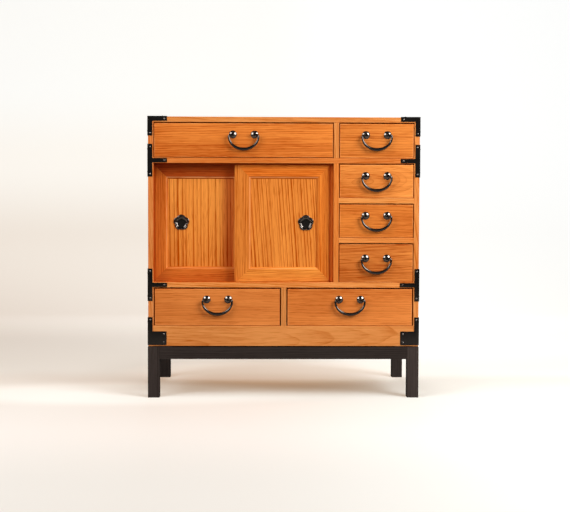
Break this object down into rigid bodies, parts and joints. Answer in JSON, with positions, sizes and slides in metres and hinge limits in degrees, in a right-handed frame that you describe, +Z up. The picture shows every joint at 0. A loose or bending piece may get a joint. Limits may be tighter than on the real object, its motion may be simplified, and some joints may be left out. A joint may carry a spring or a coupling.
{
  "type": "tansu chest",
  "caption": "Small wooden tansu chest on a low dark stand, with bail-handled drawers, sliding panelled doors, plum-blossom finger pulls and black iron corner brackets.",
  "frame": {"origin": "on the floor, under the middle of the object's box", "axes": "+Z up, +X to the right of someone who faces the drawers, +Y towards the back"},
  "size_m": [0.6046, 0.341, 0.6243],
  "materials": {
    "oiled_wood": "satin oil over open grain",
    "plain_wood": "bare planed wood",
    "dark_wood": "matt dark stain",
    "black_iron": "black lacquered iron, satin to glossy"
  },
  "bodies": {
    "chest": {"top_panel": "oiled_wood", "left_side_panel": "oiled_wood", "right_side_panel": "oiled_wood", "upper_shelf": "oiled_wood", "lower_shelf": "oiled_wood", "right_shelf_upper": "oiled_wood", "right_shelf_lower": "oiled_wood", "upper_partition": "oiled_wood", "middle_partition": "oiled_wood", "lower_partition": "oiled_wood", "front_apron": "oiled_wood", "bottom_panel": "plain_wood", "back_panel": "plain_wood", "stand_front_rail": "dark_wood", "stand_rear_rail": "dark_wood", "stand_left_rail": "dark_wood", "stand_right_rail": "dark_wood", "stand_front_left_leg": "dark_wood", "stand_front_right_leg": "dark_wood", "stand_rear_left_leg": "dark_wood", "stand_rear_right_leg": "dark_wood", "stand_pads": "dark_wood", "top_corner_brackets": "black_iron", "tee_brackets": "black_iron", "bottom_corner_brackets": "black_iron", "bracket_nails": "black_iron"},
    "top_left_drawer": {"top_left_drawer_front": "oiled_wood", "top_left_drawer_box": "plain_wood", "top_left_handle_posts": "black_iron"},
    "top_left_bail": {"top_left_handle_bail": "black_iron"},
    "top_right_drawer": {"top_right_drawer_front": "oiled_wood", "top_right_drawer_box": "plain_wood", "top_right_handle_posts": "black_iron"},
    "top_right_bail": {"top_right_handle_bail": "black_iron"},
    "right_upper_drawer": {"right_upper_drawer_front": "oiled_wood", "right_upper_drawer_box": "plain_wood", "right_upper_handle_posts": "black_iron"},
    "right_upper_bail": {"right_upper_handle_bail": "black_iron"},
    "right_middle_drawer": {"right_middle_drawer_front": "oiled_wood", "right_middle_drawer_box": "plain_wood", "right_middle_handle_posts": "black_iron"},
    "right_middle_bail": {"right_middle_handle_bail": "black_iron"},
    "right_lower_drawer": {"right_lower_drawer_front": "oiled_wood", "right_lower_drawer_box": "plain_wood", "right_lower_handle_posts": "black_iron"},
    "right_lower_bail": {"right_lower_handle_bail": "black_iron"},
    "bottom_left_drawer": {"bottom_left_drawer_front": "oiled_wood", "bottom_left_drawer_box": "plain_wood", "bottom_left_handle_posts": "black_iron"},
    "bottom_left_bail": {"bottom_left_handle_bail": "black_iron"},
    "bottom_right_drawer": {"bottom_right_drawer_front": "oiled_wood", "bottom_right_drawer_box": "plain_wood", "bottom_right_handle_posts": "black_iron"},
    "bottom_right_bail": {"bottom_right_handle_bail": "black_iron"},
    "front_door": {"front_door_frame": "oiled_wood", "front_door_panel": "oiled_wood", "front_door_pull": "black_iron"},
    "rear_door": {"rear_door_frame": "oiled_wood", "rear_door_panel": "oiled_wood", "rear_door_pull": "black_iron"}
  },
  "joints": [
    {"name": "top_left_drawer_slide", "type": "slide", "parent": "chest", "child": "top_left_drawer", "axis": [0, -1, 0], "range_m": [0, 0.24]},
    {"name": "top_left_bail_swing", "type": "hinge", "parent": "top_left_drawer", "child": "top_left_bail", "pos_m": [-0.08925, -0.1669, 0.583], "axis": [-1, 0, 0], "range_deg": [-6, 175]},
    {"name": "top_right_drawer_slide", "type": "slide", "parent": "chest", "child": "top_right_drawer", "axis": [0, -1, 0], "range_m": [0, 0.24]},
    {"name": "top_right_bail_swing", "type": "hinge", "parent": "top_right_drawer", "child": "top_right_bail", "pos_m": [0.20475, -0.1669, 0.583], "axis": [-1, 0, 0], "range_deg": [-6, 175]},
    {"name": "right_upper_drawer_slide", "type": "slide", "parent": "chest", "child": "right_upper_drawer", "axis": [0, -1, 0], "range_m": [0, 0.24]},
    {"name": "right_upper_bail_swing", "type": "hinge", "parent": "right_upper_drawer", "child": "right_upper_bail", "pos_m": [0.20475, -0.1669, 0.493], "axis": [-1, 0, 0], "range_deg": [-6, 175]},
    {"name": "right_middle_drawer_slide", "type": "slide", "parent": "chest", "child": "right_middle_drawer", "axis": [0, -1, 0], "range_m": [0, 0.24]},
    {"name": "right_middle_bail_swing", "type": "hinge", "parent": "right_middle_drawer", "child": "right_middle_bail", "pos_m": [0.20475, -0.1669, 0.405], "axis": [-1, 0, 0], "range_deg": [-6, 175]},
    {"name": "right_lower_drawer_slide", "type": "slide", "parent": "chest", "child": "right_lower_drawer", "axis": [0, -1, 0], "range_m": [0, 0.24]},
    {"name": "right_lower_bail_swing", "type": "hinge", "parent": "right_lower_drawer", "child": "right_lower_bail", "pos_m": [0.20475, -0.1669, 0.3105], "axis": [-1, 0, 0], "range_deg": [-6, 175]},
    {"name": "bottom_left_drawer_slide", "type": "slide", "parent": "chest", "child": "bottom_left_drawer", "axis": [0, -1, 0], "range_m": [0, 0.24]},
    {"name": "bottom_left_bail_swing", "type": "hinge", "parent": "bottom_left_drawer", "child": "bottom_left_bail", "pos_m": [-0.147, -0.1669, 0.2185], "axis": [-1, 0, 0], "range_deg": [-6, 175]},
    {"name": "bottom_right_drawer_slide", "type": "slide", "parent": "chest", "child": "bottom_right_drawer", "axis": [0, -1, 0], "range_m": [0, 0.24]},
    {"name": "bottom_right_bail_swing", "type": "hinge", "parent": "bottom_right_drawer", "child": "bottom_right_bail", "pos_m": [0.147, -0.1669, 0.2185], "axis": [-1, 0, 0], "range_deg": [-6, 175]},
    {"name": "front_door_slide", "type": "slide", "parent": "chest", "child": "front_door", "axis": [-1, 0, 0], "range_m": [0, 0.177]},
    {"name": "rear_door_slide", "type": "slide", "parent": "chest", "child": "rear_door", "axis": [1, 0, 0], "range_m": [0, 0.185]}
  ]
}
